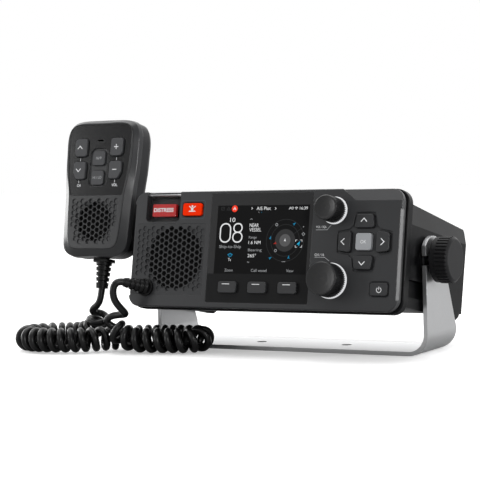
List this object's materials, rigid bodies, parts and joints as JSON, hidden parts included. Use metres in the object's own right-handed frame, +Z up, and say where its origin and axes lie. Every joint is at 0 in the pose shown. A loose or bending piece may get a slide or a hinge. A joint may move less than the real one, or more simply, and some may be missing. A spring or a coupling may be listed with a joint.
{
  "type": "marine radio",
  "caption": "Fixed-mount marine VHF radio with a colour display, keypad and rotary knobs, tilting in a gimbal bracket, with a hung fist microphone on a curly cord.",
  "frame": {"origin": "centre of the bracket's underside, midway between the two base holes", "axes": "+X to the right as the user faces the panel, along the tilt axis; +Y away from the user; +Z up, out of the base plate"},
  "size_m": [0.3307, 0.1711, 0.1711],
  "materials": {
    "panel_plastic": "fine matt grain, dark charcoal",
    "grille_plastic": "matt dark charcoal",
    "gasket_rubber": "matt black",
    "housing_plastic": "matt black",
    "board": "green solder mask",
    "screen": "dark screen",
    "lens": "gloss black glass-like cover",
    "speaker_metal": "black",
    "silicone": "grey silicone",
    "light_ring": "white translucent",
    "socket_metal": "bright nickel",
    "power_socket_black": "black",
    "steel_screw": "stainless",
    "insert_brass": "plain brass",
    "boot_rubber": "matt black",
    "cord_rubber": "satin black",
    "bracket_metal": "satin silver",
    "hanger_steel": "satin stainless",
    "bolt_steel": "stainless",
    "clamp_black": "matt black",
    "cover_clear": "clear plastic",
    "distress_red": "red",
    "mob_orange": "orange red",
    "key_rubber": "dark grey rubber",
    "ok_key_grey": "light grey",
    "shaft_steel": "plain",
    "knob_black": "satin black",
    "mic_plastic": "fine matt grain, dark charcoal",
    "mic_key_rubber": "dark grey rubber",
    "stud_chrome": "bright"
  },
  "bodies": {
    "bracket": {"gimbal_bracket": "bracket_metal", "mic_hanger": "hanger_steel", "hanger_screws": "steel_screw", "coil_left": "cord_rubber", "coil_right": "cord_rubber"},
    "radio": {"front_panel": "panel_plastic", "speaker_grille": "grille_plastic", "panel_gasket": "gasket_rubber", "rear_housing": "housing_plastic", "front_board": "board", "main_board": "board", "display_module": "screen", "display_lens": "lens", "speaker_driver": "speaker_metal", "keypad_mats": "silicone", "knob_encoders": "speaker_metal", "knob_light_rings": "light_ring", "antenna_socket": "socket_metal", "power_socket": "power_socket_black", "housing_screws": "steel_screw", "pivot_inserts": "insert_brass", "pivot_washers": "gasket_rubber", "cord_gland": "boot_rubber", "cover_hinge_pin": "steel_screw", "radio_lead": "cord_rubber"},
    "clamp_right": {"clamp_knob_right": "clamp_black", "clamp_bolt_right": "bolt_steel"},
    "clamp_left": {"clamp_knob_left": "clamp_black", "clamp_bolt_left": "bolt_steel"},
    "cover": {"distress_cover": "cover_clear"},
    "distress_key_cap": {"distress_key": "distress_red"},
    "mob_key_cap": {"mob_key": "mob_orange"},
    "soft_key_1_cap": {"soft_key_1": "key_rubber"},
    "soft_key_2_cap": {"soft_key_2": "key_rubber"},
    "soft_key_3_cap": {"soft_key_3": "key_rubber"},
    "key_up_cap": {"key_up": "key_rubber"},
    "key_down_cap": {"key_down": "key_rubber"},
    "key_left_cap": {"key_left": "key_rubber"},
    "key_right_cap": {"key_right": "key_rubber"},
    "key_ok_cap": {"key_ok": "ok_key_grey"},
    "power_key_cap": {"power_key": "key_rubber"},
    "volume_spindle": {"volume_shaft": "shaft_steel"},
    "volume_cap": {"volume_knob": "knob_black"},
    "channel_spindle": {"channel_shaft": "shaft_steel"},
    "channel_cap": {"channel_knob": "knob_black"},
    "microphone": {"mic_front_shell": "mic_plastic", "mic_back_shell": "mic_plastic", "mic_board": "board", "mic_speaker": "speaker_metal", "mic_hang_stud": "stud_chrome", "mic_screws": "steel_screw", "mic_boot": "boot_rubber", "mic_lead": "cord_rubber"},
    "mic_key_up_cap": {"mic_key_up": "mic_key_rubber"},
    "mic_key_down_cap": {"mic_key_down": "mic_key_rubber"},
    "mic_key_plus_cap": {"mic_key_plus": "mic_key_rubber"},
    "mic_key_minus_cap": {"mic_key_minus": "mic_key_rubber"},
    "mic_key_channel_cap": {"mic_key_channel": "mic_key_rubber"},
    "mic_key_power_cap": {"mic_key_power": "mic_key_rubber"},
    "mic_talk_cap": {"mic_talk_key": "mic_key_rubber"}
  },
  "joints": [
    {"name": "tilt", "type": "hinge", "parent": "bracket", "child": "radio", "pos_m": [0, -0.0131, 0.066], "axis": [1, 0, 0], "range_deg": [-14, 13], "deforming": ["radio_lead"]},
    {"name": "clamp_right_turn", "type": "hinge", "parent": "radio", "child": "clamp_right", "pos_m": [0.112, -0.0131, 0.066], "axis": [1, 0, 0], "range_deg": [0, 360]},
    {"name": "clamp_left_turn", "type": "hinge", "parent": "radio", "child": "clamp_left", "pos_m": [-0.112, -0.0131, 0.066], "axis": [-1, 0, 0], "range_deg": [0, 360]},
    {"name": "cover_lift", "type": "hinge", "parent": "radio", "child": "cover", "pos_m": [-0.082, -0.05242, 0.11433], "axis": [-1, 0, 0], "range_deg": [0, 110], "stiffness_Nm_per_rad": 0.01, "springref_deg": -17.19},
    {"name": "distress_key_press", "type": "slide", "parent": "radio", "child": "distress_key_cap", "axis": [0, 0.9803, -0.1977], "range_m": [0, 0.0015], "stiffness_N_per_m": 900, "springref_m": -0.001},
    {"name": "mob_key_press", "type": "slide", "parent": "radio", "child": "mob_key_cap", "axis": [0, 0.9803, -0.1977], "range_m": [0, 0.001], "stiffness_N_per_m": 900, "springref_m": -0.001},
    {"name": "soft_key_1_press", "type": "slide", "parent": "radio", "child": "soft_key_1_cap", "axis": [0, 0.9803, -0.1977], "range_m": [0, 0.001], "stiffness_N_per_m": 900, "springref_m": -0.001},
    {"name": "soft_key_2_press", "type": "slide", "parent": "radio", "child": "soft_key_2_cap", "axis": [0, 0.9803, -0.1977], "range_m": [0, 0.001], "stiffness_N_per_m": 900, "springref_m": -0.001},
    {"name": "soft_key_3_press", "type": "slide", "parent": "radio", "child": "soft_key_3_cap", "axis": [0, 0.9803, -0.1977], "range_m": [0, 0.001], "stiffness_N_per_m": 900, "springref_m": -0.001},
    {"name": "key_up_press", "type": "slide", "parent": "radio", "child": "key_up_cap", "axis": [0, 0.9803, -0.1977], "range_m": [0, 0.001], "stiffness_N_per_m": 900, "springref_m": -0.001},
    {"name": "key_down_press", "type": "slide", "parent": "radio", "child": "key_down_cap", "axis": [0, 0.9803, -0.1977], "range_m": [0, 0.001], "stiffness_N_per_m": 900, "springref_m": -0.001},
    {"name": "key_left_press", "type": "slide", "parent": "radio", "child": "key_left_cap", "axis": [0, 0.9803, -0.1977], "range_m": [0, 0.001], "stiffness_N_per_m": 900, "springref_m": -0.001},
    {"name": "key_right_press", "type": "slide", "parent": "radio", "child": "key_right_cap", "axis": [0, 0.9803, -0.1977], "range_m": [0, 0.001], "stiffness_N_per_m": 900, "springref_m": -0.001},
    {"name": "key_ok_press", "type": "slide", "parent": "radio", "child": "key_ok_cap", "axis": [0, 0.9803, -0.1977], "range_m": [0, 0.001], "stiffness_N_per_m": 900, "springref_m": -0.001},
    {"name": "power_key_press", "type": "slide", "parent": "radio", "child": "power_key_cap", "axis": [0, 0.9803, -0.1977], "range_m": [0, 0.0008], "stiffness_N_per_m": 900, "springref_m": -0.001},
    {"name": "volume_turn", "type": "hinge", "parent": "radio", "child": "volume_spindle", "pos_m": [0.0566, -0.05731, 0.10225], "axis": [0, -0.9803, 0.1977], "continuous": true},
    {"name": "volume_push", "type": "slide", "parent": "volume_spindle", "child": "volume_cap", "axis": [0, 0.9803, -0.1977], "range_m": [0, 0.0006], "stiffness_N_per_m": 1500, "springref_m": -0.001},
    {"name": "channel_turn", "type": "hinge", "parent": "radio", "child": "channel_spindle", "pos_m": [0.0566, -0.06683, 0.055], "axis": [0, -0.9803, 0.1977], "continuous": true},
    {"name": "channel_push", "type": "slide", "parent": "channel_spindle", "child": "channel_cap", "axis": [0, 0.9803, -0.1977], "range_m": [0, 0.0006], "stiffness_N_per_m": 1500, "springref_m": -0.001},
    {"name": "mic_lift_off", "type": "slide", "parent": "bracket", "child": "microphone", "axis": [0, 0.2079, 0.9781], "range_m": [0, 0.016], "deforming": ["mic_lead"]},
    {"name": "mic_key_up_press", "type": "slide", "parent": "microphone", "child": "mic_key_up_cap", "axis": [0, 0.9781, -0.2079], "range_m": [0, 0.0008], "stiffness_N_per_m": 900, "springref_m": -0.001},
    {"name": "mic_key_down_press", "type": "slide", "parent": "microphone", "child": "mic_key_down_cap", "axis": [0, 0.9781, -0.2079], "range_m": [0, 0.0008], "stiffness_N_per_m": 900, "springref_m": -0.001},
    {"name": "mic_key_plus_press", "type": "slide", "parent": "microphone", "child": "mic_key_plus_cap", "axis": [0, 0.9781, -0.2079], "range_m": [0, 0.0008], "stiffness_N_per_m": 900, "springref_m": -0.001},
    {"name": "mic_key_minus_press", "type": "slide", "parent": "microphone", "child": "mic_key_minus_cap", "axis": [0, 0.9781, -0.2079], "range_m": [0, 0.0008], "stiffness_N_per_m": 900, "springref_m": -0.001},
    {"name": "mic_key_channel_press", "type": "slide", "parent": "microphone", "child": "mic_key_channel_cap", "axis": [0, 0.9781, -0.2079], "range_m": [0, 0.0008], "stiffness_N_per_m": 900, "springref_m": -0.001},
    {"name": "mic_key_power_press", "type": "slide", "parent": "microphone", "child": "mic_key_power_cap", "axis": [0, 0.9781, -0.2079], "range_m": [0, 0.0008], "stiffness_N_per_m": 900, "springref_m": -0.001},
    {"name": "mic_talk_press", "type": "slide", "parent": "microphone", "child": "mic_talk_cap", "axis": [1, 0, 0], "range_m": [0, 0.0015], "stiffness_N_per_m": 900, "springref_m": -0.0015}
  ]
}
